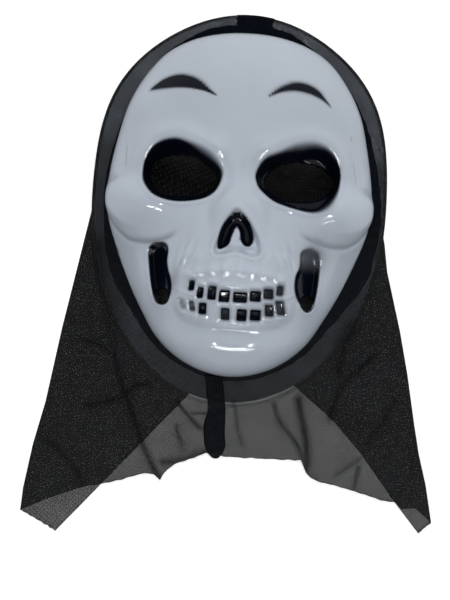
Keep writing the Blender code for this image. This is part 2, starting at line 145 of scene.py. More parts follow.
# Pleats lying in the front layer: route, height, half width, and how many extra layers of cloth they hold,
# spread wider than the fold as painted shade
PLEATS = [
    ([(-97, 18), (-93, -6), (-86, -35), (-80.4, -58), (-75.4, -76.7)], 0.9, 2.6, 0.8),
    ([(-80.4, -58), (-75.4, -76.7), (-68.7, -91.7), (-57.4, -118.7), (-48.7, -135.4), (-43, -143.7)],
     1.8, 1.0, 2.2),
    ([(-103, -49.7), (-92, -52.8), (-86, -56.3), (-80.5, -61)], 1.2, 0.9, 1.3),
    ([(-98, -96.4), (-84, -92.6), (-70, -87), (-65.8, -81), (-56, -78.4)], 1.4, 1.2, 1.6),
    ([(-125.3, -121), (-110, -132.6), (-102, -141.7), (-96.6, -150)], 1.4, 1.2, 1.2),
    ([(-24.3, -96.5), (-13.9, -95.8)], 0.7, 0.5, 1.0),
    ([(-35, -88.5), (-23, -101.2), (-17, -106.6)], 1.3, 0.7, 1.8),
    ([(-34.3, -105.8), (-30.8, -115.2), (-27.5, -122.6)], 1.0, 0.7, 1.1),
    ([(-42, -131.5), (-32.7, -130.6), (-23, -127), (-13, -122.4)], 0.8, 1.1, 1.8),
    ([(84.7, -31), (79, -43.5), (76.6, -61.8)], 1.5, 1.8, 1.5),
    ([(101.8, -48), (81, -69.5), (75, -85), (72.6, -94)], 1.5, 0.9, 1.8),
    ([(116.8, -79), (110.7, -93.7), (99.6, -109.5)], 1.1, 1.0, 0.9),
    ([(50, -82), (52, -92), (55, -102), (58, -119), (57.5, -132)], 2.0, 1.1, 2.4),
    ([(33, -86.6), (37.8, -98.3), (49.6, -111.6), (56, -123)], 1.2, 0.9, 1.3),
    ([(4.9, -86.3), (9, -104), (12.8, -116)], 0.8, 0.9, 0.7),
    ([(94.7, -127), (92.7, -142)], 1.2, 0.7, 1.2),
    ([(95.3, -120.8), (78, -134)], 0.8, 0.9, 0.7),
]
CLOTH_SPACING = 1.1
RIM_RINGS, CLOTH_RINGS = 14, 92
CLOTH_ON_RIM = FLANGE_TOP + 0.45
FRONT_GROUND, BACK_GROUND, FOLD_HEIGHT = 1.8, 0.4, 0.8
# Width of the folded dark edge round the face, by direction in degrees from HUB; at the jaws it is widened as
# painted shade at the foot of the wall
HEM_AND_SHADE_WIDTHS = [(-90, 3.5), (-60, 4), (-40, 6), (-25, 9.5), (-12, 12.5), (0, 10.5), (9, 8.5), (20, 7),
              (35, 5.5), (50, 3.6), (60, 2.4), (72, 3.2), (80, 8), (90, 8.5), (100, 8), (107, 4.5),
              (115, 2.4), (150, 2.2), (172, 3.5), (185, 7.5), (200, 8.8), (215, 6.5), (232, 5), (250, 3.5),
              (270, 3.5)]
# Where glue shows through the gauze on the rim, lightened as a painted sheen: middle and size
GLUE_AND_SHEEN_SPOTS = [(-66, 142, 9), (-45, 158, 8), (-24, 171, 8), (-8, 176, 6), (22, 172, 7), (38, 163, 9),
              (88, 95, 10)]
# Thickness of gauze folded over itself, and the turn of its threads left and right of the seam, in degrees
FOLDED_CLOTH = 0.3
FRONT_TURNS, BACK_TURNS, HEM_TURNS, CROWN_TURNS = (42, 28), (-14, -21), (42, -6), (10, -20)
# The overlap at the crown, from left to right
CROWN_PATCH = (-9.5, 16.5)
# Middle and half width of the gathered seam under the chin, by y
TAB_MIDDLE = [(-126, -5.5), (-121.5, -6.1), (-114, -7), (-100, -7.2), (-95, -6.6), (-83, -7.9), (-68, -10.4)]
TAB_HALF = [(-126, 2.5), (-123.5, 5.2), (-120, 7), (-113, 7.5), (-100, 7.2), (-95, 6.5), (-83, 6.2), (-68, 6)]


def step(low, high, x):
    """0 below low, 1 above high, smooth between."""
    t = np.clip((x - low) / (high - low), 0, 1)
    return t * t * (3 - 2 * t)


def bump(x, y, middle, size):
    """A round-topped hill 1 high."""
    return np.exp(-((x - middle[0]) / size[0]) ** 2 - ((y - middle[1]) / size[1]) ** 2)


def through(points, x):
    """A smooth line through a few (x, y) points."""
    xs, ys = np.array(points, float).T
    slopes = np.gradient(ys, xs)
    i = np.clip(np.searchsorted(xs, x) - 1, 0, len(xs) - 2)
    width = xs[i + 1] - xs[i]
    t = np.clip((x - xs[i]) / width, 0, 1)
    rise = (2 * t ** 3 - 3 * t ** 2 + 1) * ys[i] + (3 * t ** 2 - 2 * t ** 3) * ys[i + 1]
    return rise + ((t ** 3 - 2 * t ** 2 + t) * slopes[i] + (t ** 3 - t ** 2) * slopes[i + 1]) * width


def smooth_line(points, closed=False, steps=5):
    """The points of a smooth curve through a few points."""
    p = np.array(points, float)
    if closed:
        before, after, later = np.roll(p, 1, 0), np.roll(p, -1, 0), np.roll(p, -2, 0)
    else:
        before, after, later = p[[0, *range(len(p) - 2)]], p[1:], p[[*range(2, len(p)), -1]]
        p = p[:-1]
    t = np.linspace(0, 1, steps, endpoint=False)[:, None, None]
    curve = 0.5 * (2 * p + (after - before) * t + (2 * before - 5 * p + 4 * after - later) * t ** 2
                   + (3 * p - before - 3 * after + later) * t ** 3)
    curve = curve.transpose(1, 0, 2).reshape(-1, 2)
    return curve if closed else np.vstack([curve, points[-1]])


def line_distance(line, x, y):
    """Distance of points from a line of straight stretches."""
    best = np.full(np.shape(x), np.inf)
    for (ax, ay), (bx, by) in zip(line[:-1], line[1:]):
        ex, ey = bx - ax, by - ay
        along = np.clip(((x - ax) * ex + (y - ay) * ey) / (ex * ex + ey * ey), 0, 1)
        best = np.minimum(best, (x - ax - ex * along) ** 2 + (y - ay - ey * along) ** 2)
    return np.sqrt(best)


def outside(outline, x, y, limit=16.0):
    """Distance of points from a smooth closed outline, negative inside and never more than limit."""
    ring = smooth_line(outline, closed=True)
    x, y = np.asarray(x, float), np.asarray(y, float)
    low, high = ring.min(0) - limit, ring.max(0) + limit
    near = (x > low[0]) & (x < high[0]) & (y > low[1]) & (y < high[1])
    px, py = x[near], y[near]
    inside = np.zeros(px.shape, bool)
    for (ax, ay), (bx, by) in zip(ring, np.roll(ring, -1, 0)):
        crossed = (ay > py) != (by > py)
        inside ^= crossed & (px < ax + (py - ay) * (bx - ax) / (by - ay if by != ay else 1.0))
    away = np.full(x.shape, limit)
    gap = line_distance(np.vstack([ring, ring[0]]), px, py)
    away[near] = np.minimum(gap, limit) * np.where(inside, -1, 1)
    return away


def reach(outline, hub, angle):
    """Distance from the hub to a closed outline that can be seen whole from it, along each angle."""
    dx, dy = (np.array(outline, float) - hub).T
    turn, far = np.arctan2(dy, dx), np.hypot(dx, dy)
    order = np.argsort(turn)
    turn, far = turn[order], far[order]
    turns = np.concatenate([turn - WHOLE_TURN, turn, turn + WHOLE_TURN])
    wrapped = (np.asarray(angle, float) + math.pi) % WHOLE_TURN - math.pi
    return through(list(zip(turns, np.tile(far, 3))), wrapped)


def both_halves(right_half):
    return right_half + [(-x, y) for x, y in right_half[1:-1]]


def ripple(x, y, length, seed):
    """Smooth, repeatable unevenness between about -1 and 1, with bumps about one length apart."""
    rng = np.random.default_rng(seed)
    total = 0.0
    for _ in range(6):
        heading, phase = rng.uniform(0, WHOLE_TURN, 2)
        pace = WHOLE_TURN / (length * rng.uniform(0.7, 1.5))
        total = total + np.sin(pace * (x * math.cos(heading) + y * math.sin(heading)) + phase)
    return total / 3


def band_edge(angle, inset=0.0):
    """Point on the outer edge of the wrapped rim, an oval, as seen from HUB at each angle."""
    half_length = (BAND_TOP - BAND_BOTTOM) / 2 - inset
    half_width = BAND_HALF_WIDTH - inset
    drop = HUB[1] - (BAND_TOP + BAND_BOTTOM) / 2
    c, s = np.cos(angle) / half_width, np.sin(angle) / half_length
    k = drop / half_length
    far = (-s * k + np.sqrt((s * k) ** 2 - (c * c + s * s) * (k * k - 1))) / (c * c + s * s)
    off_shoulder = (np.abs(np.degrees(angle) - 90) - SHOULDER_TURN) / SHOULDER_SPREAD
    far = far * (1 + SHOULDER_FULLNESS * np.exp(-off_shoulder ** 2))
    return HUB[0] + far * np.cos(angle), HUB[1] + far * np.sin(angle)


def band_reach(angle, inset=0.0):
    """Distance from HUB to the outer edge of the wrapped rim."""
    return np.hypot(*(c - h for c, h in zip(band_edge(angle, inset), HUB)))


def wall_foot(angle):
    """Distance from HUB to the foot of the face's wall."""
    return reach(both_halves(WALL_FOOT), HUB, angle)


def from_hub(out, angle):
    """Points at a distance out from HUB along each angle."""
    return HUB[0] + out * np.cos(angle), HUB[1] + out * np.sin(angle)


def grid_points(x, y, z):
    """One row for each point of a grid."""
    return np.stack([x, y, z], -1).reshape(-1, 3)


def add_mesh(name, points_mm, faces, smooth=True):
    mesh = bpy.data.meshes.new(name)
    mesh.from_pydata((np.array(points_mm, float) * MM).tolist(), [], [tuple(f) for f in faces])
    mesh.update()
    if smooth:
        mesh.shade_smooth()
    made = bpy.data.objects.new(name, mesh)
    bpy.context.scene.collection.objects.link(made)
    return made


def add_values(obj, name, values):
    """A value for each vertex, for the material to read."""
    layer = obj.data.attributes.new(name, "FLOAT", "POINT")
    layer.data.foreach_set("value", np.asarray(values, np.float32))


def add_vectors(obj, name, vectors_mm):
    """A place for each vertex in metres, so that a pattern stays on the cloth when it moves."""
    layer = obj.data.attributes.new(name, "FLOAT_VECTOR", "POINT")
    layer.data.foreach_set("vector", (np.asarray(vectors_mm, np.float32) * MM).ravel())


def ring_faces(rays, rings, start=0, closed=True):
    """Faces of a grid whose rings of vertices follow one another from start."""
    last = rays if closed else rays - 1
    ray, ring = np.meshgrid(np.arange(last), np.arange(rings - 1))
    here = start + ring * rays
    nxt = (ray + 1) % rays
    quads = np.stack([here + ray, here + rays + ray, here + rays + nxt, here + nxt], -1)
    return quads.reshape(-1, 4)


def centre_fan(rays):
    """Triangles from vertex 0 to the first ring of vertices round it."""
    return [(0, 1 + i, 1 + (i + 1) % rays) for i in range(rays)]


def thicken(obj, wall):
    """Gives a sheet a real thickness in millimetres, under its surface."""
    thick = obj.modifiers.new("thickness", "SOLIDIFY")
    thick.thickness = wall * MM
    thick.offset = -1.0
    return thick


# ---------------------------------------------------------------- face shell

def tooth_gap_distance(x, y):
    """How far a point is outside the nearest gap between teeth, and how black that gap is."""
    corner = 1.2
    nearest, black = np.full(np.shape(x), 99.0), np.zeros(np.shape(x))
    for middle_x, middle_y, width, height, lean, paint in TOOTH_GAPS:
        dx = np.abs(x - middle_x - lean * (y - middle_y)) - width / 2 + corner
        dy = np.abs(y - middle_y) - height / 2 + corner
        away = np.hypot(np.maximum(dx, 0), np.maximum(dy, 0)) + np.minimum(np.maximum(dx, dy), 0) - corner
        closer = away < nearest
        nearest = np.where(closer, away, nearest)
        black = np.where(closer, paint, black)
    return nearest, black


def nearest_outline(outlines, x, y):
    return np.minimum.reduce([outside(outline, x, y) for outline in outlines])


def round_outline(middle, radius):
    return [(middle[0] + radius * math.cos(a), middle[1] + radius * math.sin(a))
            for a in np.linspace(0, WHOLE_TURN, 12, endpoint=False)]


def face_marks(x, y):
    """How far each point is outside the features moulded and painted on the face."""
    gap, black = tooth_gap_distance(x, y)
    vents = [round_outline(vent, VENT_RADIUS) for vent in VENTS]
    return {"socket": nearest_outline(SOCKETS, x, y), "hole": nearest_outline(EYE_HOLES, x, y),
            "nose": outside(NOSE, x, y), "pit": outside(NOSE_PIT, x, y), "vent": nearest_outline(vents, x, y),
            "channel": nearest_outline(CHANNELS, x, y), "brow": nearest_outline(BROWS, x, y),
            "gap": gap, "black": black}


def over_cheek_crease(x, y):
    """How far a point is above the crease under the cheekbone."""
    side = np.abs(x)
    return y - np.where(x < 0, through(LEFT_CREASE, side), through(RIGHT_CREASE, side))


def face_height(x, y, t, marks):
    """Top surface of the face; t is 0 at HUB and 1 at the foot of the wall."""
    side = np.abs(x)
    dome = through(PROFILE, y) - through(FALL, y) * 0.001 * x ** 2
    # cheekbone, steep at the side, with a sharp crease under it
    over = over_cheek_crease(x, y)
    knob = np.exp(-(((side - 79) / 27) ** 2 + ((y - 43) / 17) ** 2) ** 1.5)
    dome += 12 * knob * step(26, 50, side) * step(-1.5, 8, over)
    dome -= 4.0 * bump(side, y, (64, 12), (22, 11)) * step(3, -3, over)
    dome -= 2.4 * np.exp(-((over + 0.8) / 2.0) ** 2) * step(34, 48, side) * step(98, 84, side)
    # upper jaw, temples, forehead, cheek hollow and nose bone
    dome += 6 * bump(side, y, (0, -6), (32, 24))
    dome -= 5 * bump(side, y, (84, 88), (14, 22))
    dome += 3.5 * bump(side, y, (28, 118), (24, 20))
    dome -= 6 * bump(side, y, (50, 2), (9, 22))
    nose_bone = 5 + 12 * step(64, 34, y)
    dome += 4.5 * step(nose_bone + 4, nose_bone - 4, side) * bump(0, y, (0, 48), (1, 16))
    dome -= 2.5 * bump(side, y, (19, 38), (5, 13))
    # brow ridge and socket
    rim = marks["socket"]
    dome += 4.5 * np.exp(-((rim - 5) / 5) ** 2) * step(52, 82, y)
    dome += 2.2 * bump(side, y, (13, 78), (6, 5))
    dome += 1.1 * np.exp(-((rim - 1.3) / 1.5) ** 2)
    slope_width = 4 + 4 * step(56, 80, y)
    dome -= SOCKET_DEPTH * (1 - step(0, 1, (rim + slope_width) / slope_width))
    dome -= 1.8 * (1 - step(0, 2.4, marks["hole"]))
    dome += 1.5 * np.exp(-((marks["hole"] - 0.7) / 0.9) ** 2)
    # nose recess, with two black pits either side of a pillar
    dome += 1.1 * np.exp(-((marks["nose"] - 1.0) / 1.3) ** 2)
    dome -= 4.5 * (1 - step(-3.2, 0.2, marks["nose"]))
    dome -= 6.0 * (1 - step(-2.4, 0.4, marks["pit"]))
    # cheek channels
    dome -= CHANNEL_DEPTH * (1 - step(-3.4, 0.4, marks["channel"]))
    dome += 0.9 * np.exp(-((marks["channel"] - 1.2) / 1.4) ** 2)
    dome -= 1.6 * (1 - step(0, 1.6, marks["vent"]))
    dome += 1.3 * np.exp(-((marks["vent"] - 0.8) / 0.8) ** 2)
    dome += tooth_relief(x, y, marks)
    dome += 0.2 * ripple(x, y, 26, 3) + 0.07 * ripple(x, y, 9, 8)
    # the wall falls off late at the forehead and cheekbones, and early at the temples
    by_side = np.exp(-((side - 92) / 24) ** 2)
    cheekbone = 11 * step(66, 52, y) * step(12, 36, y)
    temple = np.where(x > 0, 4, 3) * np.exp(-((y - 80) / 17) ** 2)
    blunt = 7 + 5 * step(92, 116, y) + (cheekbone - temple) * by_side
    wall = np.sqrt(np.clip(1 - t ** blunt, 0, 1))
    return FLANGE_TOP + np.maximum(dome - FLANGE_TOP, 6) * wall


def tooth_relief(x, y, marks):
    """Teeth, gums and roots, which stand proud of the jaw as one block."""
    side, gap = np.abs(x), marks["gap"]
    off_block = ((x / 40) ** 4 + ((y + 8) / 26) ** 4) ** 0.25
    block = step(1.02, 0.86, off_block)
    relief = 3.4 * block
    relief -= TOOTH_GAP_DEPTH * (1 - step(-1.3, 0.3, gap)) * step(0.3, 0.8, marks["black"])
    relief -= 1.3 * np.exp(-(np.maximum(gap, 0) / 0.9) ** 2) * block
    for i, (middle_x, middle_y, width, height, *_) in enumerate(TOOTH_GAPS):
        up = 1 if i < UPPER_GAPS else -1
        gum_y = middle_y + up * (height / 2 + 2.4)
        relief += 2.0 * bump(x, y, (middle_x + 0.3, gum_y), (width * 0.42 + 0.5, 1.5))
    bar_y = -17.6 + 0.005 * side ** 2
    relief += 0.9 * np.exp(-((y - bar_y) / 1.1) ** 2) * block
    for root_x in TOOTH_ROOTS:
        root_y = 2.0 - 0.004 * root_x ** 2
        knuckle = 2.6 * bump(x, y, (root_x, root_y), (3.2, 2.8))
        relief += knuckle + 1.2 * bump(x, y, (root_x * 1.03, 9), (2.4, 5))
    furrows = np.cos(WHOLE_TURN * (side + 0.35 * y - 2) / 5.5)
    return relief + 1.6 * furrows * bump(side, y, (32, 11), (6, 10))


def socket_softness(x, y):
    """Width over which the black paint fades in, from the edge of a socket."""
    width = 1.0
    for (middle_x, middle_y), heading, spread, soft in OVERSPRAY:
        turn = np.degrees(np.arctan2(y - middle_y, x - middle_x)) - heading
        turn = (turn + 180) % 360 - 180
        width = width + soft * np.exp(-(turn / spread) ** 2) * (x * middle_x > 0)
    return width


def face_paint_and_shade(x, y, marks):
    """How much of the blue-black paint covers each point, with painted shade added along the cheekbone
    creases and at the temples.
    """
    side = np.abs(x)
    paint = step(-0.5, 0.5, -marks["socket"] / socket_softness(x, y))
    brow_haze = 0.45 * np.exp(-(np.maximum(marks["brow"], 0) / 1.3) ** 2) * step(112, 118, y)
    paint = np.maximum(paint, np.maximum(step(0.5, -0.5, marks["brow"]), brow_haze))
    paint = np.maximum(paint, step(0.9, 0.1, marks["pit"]))
    sprayed = np.where(x > 0, 0.8 + 0.2 * step(15, 3, y), 1.0)
    paint = np.maximum(paint, step(0.4, -0.6, marks["channel"]) * sprayed)
    paint = np.maximum(paint, 0.6 * bump(x, y, (50, 15), (8, 10)))
    paint = np.maximum(paint, 0.35 * bump(x, y, (-38.5, -5), (3.5, 7)))
    paint = np.maximum(paint, step(0.25, -0.35, marks["gap"]) * marks["black"])
    haze = 0.22 + 0.3 * step(5, 24, x)
    paint = np.maximum(paint, haze * np.exp(-(np.maximum(marks["gap"], 0) / 1.3) ** 2))
    # painted shade along fine temple creases, and smudges, as thin dark strokes
    for stroke in SMUDGES_AND_CREASE_SHADE:
        paint = np.maximum(paint, 0.3 * np.exp(-(line_distance(stroke, x, y) / 0.45) ** 2))
    # painted shade: a grey band along the crease under each cheekbone
    crease = np.exp(-((over_cheek_crease(x, y) + 1.2) / 1.6) ** 2)
    return np.maximum(paint, 0.42 * crease * step(36, 46, side) * step(90, 80, side))


def face_rays():
    """Ray angles, packed closer together round the mouth than over the crown."""
    even = np.linspace(0, WHOLE_TURN, 4001)
    density = 1 + 1.1 * np.exp(-((even - 1.5 * math.pi) / 0.75) ** 2)
    total = np.concatenate([[0], np.cumsum((density[1:] + density[:-1]) / 2)])
    return np.interp(np.linspace(0, total[-1], FACE_RAYS, endpoint=False), total, even)


def move_to_outline(x, y, outline, near):
    """Slides grid points that lie close to an outline onto it, so that a cut along it is clean."""
    nudge = 0.01
    away = outside(outline, x, y)
    slope_x = (outside(outline, x + nudge, y) - away) / nudge
    slope_y = (outside(outline, x, y + nudge) - away) / nudge
    pull = np.where(np.abs(away) < near, away, 0.0)
    return x - pull * slope_x, y - pull * slope_y


def face_shell():
    """Moulded face, wall and flat rim, with the eye and vent holes left open."""
    angles = face_rays()
    along = np.linspace(0, 1, FACE_RINGS + 1)[1:]
    shares = along * (1.25 - 0.25 * along)
    shares = np.append(shares[:-1], [1 - 0.0016, 1.0])
    far = wall_foot(angles)
    x = HUB[0] + np.outer(shares, far * np.cos(angles))
    y = HUB[1] + np.outer(shares, far * np.sin(angles))
    t = np.repeat(shares[:, None], FACE_RAYS, 1)
    holes = EYE_HOLES + [round_outline(vent, VENT_RADIUS) for vent in VENTS]
    for outline in holes:
        x, y = move_to_outline(x, y, outline, 0.5)
    marks = face_marks(x, y)
    z = face_height(x, y, t, marks)
    paint = face_paint_and_shade(x, y, marks)
    # the cheekbones bulge out over the folded edge of the cloth
    bulge = 0.8 * np.exp(-((y - 42) / 15) ** 4) * step(0.72, 0.93, t) * step(9, 26, z)
    x = x + np.sign(x) * bulge
    edge_x, edge_y = band_edge(angles, BAND_WRAP)
    rim_shares = np.array([0.12, 0.5, 0.93, 1.0])[:, None]
    rim_x = x[-1] + (edge_x - x[-1]) * rim_shares
    rim_y = y[-1] + (edge_y - y[-1]) * rim_shares
    rim_z = np.full(rim_x.shape, FLANGE_TOP)
    rim_z[-1] -= 0.25
    x, y, z = np.vstack([x, rim_x]), np.vstack([y, rim_y]), np.vstack([z, rim_z])
    paint = np.vstack([paint, np.zeros(rim_x.shape)])
    hub = [np.array(place) for place in HUB]
    hub_height = float(face_height(*hub, np.array(0.0), face_marks(*hub)))
    points = np.vstack([[*HUB, hub_height], grid_points(x, y, z)])
    quads = ring_faces(FACE_RAYS, len(x), 1)
    middle = points[quads].mean(1)
    cut = np.zeros(len(quads), bool)
    for outline in holes:
        cut |= (outside(outline, middle[:, 0], middle[:, 1]) < -0.02)
    shell = add_mesh("face_shell_skin", points, centre_fan(FACE_RAYS) + quads[~cut].tolist())
    add_values(shell, "paint", np.append(0, paint.ravel()))
    tidy_mesh(shell)
    shell.data.materials.append(painted_plastic())
    shell.data.materials.append(bare_plastic())
    thick = thicken(shell, SHELL_WALL)
    thick.material_offset = 1
    thick.material_offset_rim = 0
    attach(shell, "mask")
    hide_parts("face_shell")


def tidy_mesh(obj):
    """Removes vertices without faces and faces without area."""
    work = bmesh.new()
    work.from_mesh(obj.data)
    bmesh.ops.dissolve_degenerate(work, dist=0.00002, edges=work.edges)
    loose = [v for v in work.verts if not v.link_faces]
    bmesh.ops.delete(work, geom=loose, context="VERTS")
    work.to_mesh(obj.data)
    work.free()


def face_share(x, y):
    """How far out a point is on the face: 0 at HUB, 1 at the foot of the wall."""
    angle = np.arctan2(y - HUB[1], x - HUB[0])
    return np.hypot(x - HUB[0], y - HUB[1]) / wall_foot(angle)


def screen(name, outline, node, drop):
    """Gauze patch stretched across the back of a hole; drop is how far it lies under the face's surface."""
    ring = smooth_line(outline, closed=True, steps=6)
    middle = ring.mean(0)
    shares = np.linspace(0, 1.09, 15)[1:, None, None]
    grid = middle + (ring - middle) * shares
    x, y = grid[..., 0], grid[..., 1]
    inner = middle + (ring - middle) * np.minimum(shares, 1.0)
    marks = face_marks(inner[..., 0], inner[..., 1])
    top = face_height(inner[..., 0], inner[..., 1], face_share(inner[..., 0], inner[..., 1]), marks)
    edge = top[shares[:, 0, 0] >= 1.0][0]
    z = edge.mean() + (edge - edge.mean()) * np.minimum(shares[..., 0], 1.0) - drop
    z = z - 0.8 * (1 - np.minimum(shares[..., 0], 1.0) ** 2) + 0.12 * ripple(x, y, 9, 31)
    points = np.vstack([[*middle, z[0].mean()], grid_points(x, y, z)])
    rays = len(ring)
    made = add_mesh(name, points, centre_fan(rays) + ring_faces(rays, len(shares), 1).tolist())
    add_vectors(made, "weave", points)
    made.data.materials.append(screen_cloth())
    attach(made, "mask")
    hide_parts(node)


def screens():
    for side, outline in zip(("left", "right"), EYE_HOLES):
        screen(f"eye_screen_{side}", outline, f"eye_mesh_{side}", 1.6)
    for side, vent in zip(("left", "right"), VENTS):
        screen(f"vent_screen_{side}", round_outline(vent, VENT_RADIUS), f"vent_mesh_{side}", 1.6)


# ---------------------------------------------------------------- gauze hood

def hood_outline(hem):
    """Outline of one layer of the hood: left side, hem, right side, then round the crown."""
    right, left = RIGHT_SIDE[-1], LEFT_SIDE[0]
    first = math.atan2(right[1] - HUB[1], right[0] - HUB[0])
    last = math.atan2(left[1] - HUB[1], left[0] - HUB[0])
    crown = np.stack(band_edge(np.linspace(first, last, 70)[1:-1]), -1)
    return np.vstack([LEFT_SIDE, hem, RIGHT_SIDE, crown])


def walk(outline, spacing):
    """Points along a closed outline, its corners among them, no farther apart than spacing."""
    stops = []
    for a, b in zip(outline, np.roll(outline, -1, 0)):
        count = max(1, math.ceil(math.dist(a, b) / spacing))
        stops.append(a + (b - a) * np.arange(count)[:, None] / count)
    return np.vstack(stops)


def cloth_rays(hem, seed):
    """Direction and length, from HUB, of the rays that a layer of cloth is laid out on."""
    edge = walk(hood_outline(hem), CLOTH_SPACING)
    dx, dy = edge[:, 0] - HUB[0], edge[:, 1] - HUB[1]
    cut = [LEFT_SIDE[-1], *hem, RIGHT_SIDE[0]]
    frayed = line_distance(cut, edge[:, 0], edge[:, 1]) < 0.1
    fray = 0.3 * ripple(edge[:, 0], edge[:, 1], 5, seed) * frayed
    return np.arctan2(dy, dx), np.hypot(dx, dy) + fray


def pleat_relief(x, y):
    """Height of the pleats, and the extra layers of cloth they hold beyond one, spread wider than each fold
    as painted shade.
    """
    height, more_cloth_and_shade = np.zeros(np.shape(x)), np.zeros(np.shape(x))
    for route, rise, half_width, layers in PLEATS:
        away = line_distance(smooth_line(route), x, y) / half_width
        # painted shade: the wide, faint part of each spread darkens the gauze round a pleat beyond the fold
        # itself
        soft = 0.6 * np.exp(-away ** 2) + 0.4 * np.exp(-(away / 3) ** 2)
        height = np.maximum(height, rise * soft)
        more_cloth_and_shade = np.maximum(more_cloth_and_shade, layers * soft)
    return height, more_cloth_and_shade


def front_height(x, y, climb, beyond, length):
    """Height of the front layer.

    climb is the distance from the foot of the face's wall, beyond is how far the point lies outside the
    flange, and length is how far the cloth goes on outside the flange in that direction.
    """
    share = np.clip(beyond / np.clip(length, BAND_WRAP, 5.0), 0, 1)
    wrapped, draped = np.sqrt(1 - share ** 2), 0.5 + 0.5 * np.cos(math.pi * share)
    loose = step(3.6, 7.0, length)
    fall = wrapped + (draped - wrapped) * loose
    ground = FRONT_GROUND + 0.45 * ripple(x, y, 46, 5) + 0.22 * ripple(x, y, 15, 6)
    ground = FOLD_HEIGHT + (ground - FOLD_HEIGHT) * step(0, 4, length - beyond)
    z = ground + (CLOTH_ON_RIM - ground) * fall
    return z + 1.5 * np.exp(-(climb / 1.2) ** 2)


def weave_places(x, y, turns):
    """Place of each point along the two threads of the weave.

    turns holds how far the weave is turned left and right of the seam, in degrees.
    """
    turn = np.radians(np.where(x < -3, *turns))
    drift = 1.2 * ripple(x, y, 70, 12)
    u = x * np.cos(turn) + y * np.sin(turn) + drift
    v = y * np.cos(turn) - x * np.sin(turn) + 1.2 * ripple(x, y, 70, 13)
    return np.stack([u.ravel(), v.ravel(), np.zeros(x.size)], -1)


def cloth_layers(obj, layers):
    """Marks how much cloth is seen at each vertex: steep cloth is seen through a longer way."""
    normals = np.empty(len(obj.data.vertices) * 3, np.float32)
    obj.data.vertices.foreach_get("normal", normals)
    steep = 1 / np.clip(np.abs(normals[2::3]), 0.3, 1)
    add_values(obj, "layers", steep * layers)


def hood_front():
    """Front layer: glued over the rim, wrapped round its edge, and hanging from there to the hem."""
    angles, far = cloth_rays(FRONT_HEM, 21)
    foot = wall_foot(angles)
    rim = band_reach(angles, BAND_WRAP)
    length = far - rim
    last_strip = np.minimum(0.6, 0.2 * length)
    on_rim = foot + (rim - foot) * np.linspace(0, 1, RIM_RINGS)[:-1, None]
    hanging = rim + (length - last_strip) * np.linspace(0, 1, CLOTH_RINGS)[:, None] ** 1.2
    out = np.vstack([on_rim, hanging, far])
    x, y = from_hub(out, angles)
    pleats, more_cloth_and_shade = pleat_relief(x, y)
    z = front_height(x, y, out - foot, out - rim, np.broadcast_to(length, out.shape)) + pleats
    to_hem = line_distance([LEFT_SIDE[-1], *FRONT_HEM, RIGHT_SIDE[0]], x, y)
    to_fold = np.minimum(line_distance(LEFT_SIDE, x, y), line_distance(RIGHT_SIDE, x, y))
    z += 0.9 * np.maximum(ripple(x, y, 18, 8), 0) * np.exp(-(to_hem / 5) ** 2)
    layers = 1 - (0.36 + 0.26 * step(60, 115, y)) * (out < rim + 0.5) + more_cloth_and_shade
    layers = layers + 1.6 * np.exp(-(to_hem / 0.45) ** 2) + 0.8 * np.exp(-(to_fold / 0.5) ** 2)
    cloth = add_mesh("hood_front", grid_points(x, y, z), ring_faces(len(angles), len(out)))
    cloth_layers(cloth, layers.ravel())
    add_vectors(cloth, "weave", weave_places(x, y, FRONT_TURNS))
    add_values(cloth, "glue_and_sheen", glue_and_sheen_specks(x, y, out < rim + 1.5).ravel())
    cloth.data.materials.append(black_gauze())
    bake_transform(cloth)
    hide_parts("rim_band", "hood_side_left", "hood_side_right",
                "skirt_front_left", "skirt_front_right")


def glue_and_sheen_specks(x, y, on_rim):
    """How much glue shows through the gauze on the rim, lightened as a painted sheen."""
    glue_and_sheen = sum(bump(x, y, (a, b), (size, size)) for a, b, size in GLUE_AND_SHEEN_SPOTS)
    return np.minimum(glue_and_sheen, 1) * on_rim


def hood_back():
    """Back layer: the whole of the back of the hood, with an inverted V cut out for the neck."""
    angles, far = cloth_rays(BACK_HEM, 22)
    last_strip = np.full(far.shape, 0.6)
    shares = np.linspace(0, 1, CLOTH_RINGS + RIM_RINGS)[1:, None]
    out = np.vstack([(far - last_strip) * shares, far])
    x, y = from_hub(out, angles)
    to_hem = line_distance([LEFT_SIDE[-1], *BACK_HEM, RIGHT_SIDE[0]], x, y)
    z = BACK_GROUND + 0.14 * ripple(x, y, 40, 14) + 0.06 * ripple(x, y, 12, 15)
    rise = FOLD_HEIGHT - 0.05 - BACK_GROUND
    z = z + rise * np.exp(-((far - out) / 1.6) ** 2) * step(1, 4, to_hem)
    layers = 1 + 1.6 * np.exp(-(to_hem / 0.45) ** 2)
    points = np.vstack([[*HUB, BACK_GROUND], grid_points(x, y, z)])
    rays = len(angles)
    cloth = add_mesh("hood_back", points, centre_fan(rays) + ring_faces(rays, len(out), 1).tolist())
    cloth_layers(cloth, np.append(1, layers.ravel()))
    add_vectors(cloth, "weave", weave_places(points[:, 0], points[:, 1], BACK_TURNS))
    cloth.data.materials.append(black_gauze())
    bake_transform(cloth)
    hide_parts("hood_back_panel", "skirt_back_left", "skirt_back_right")


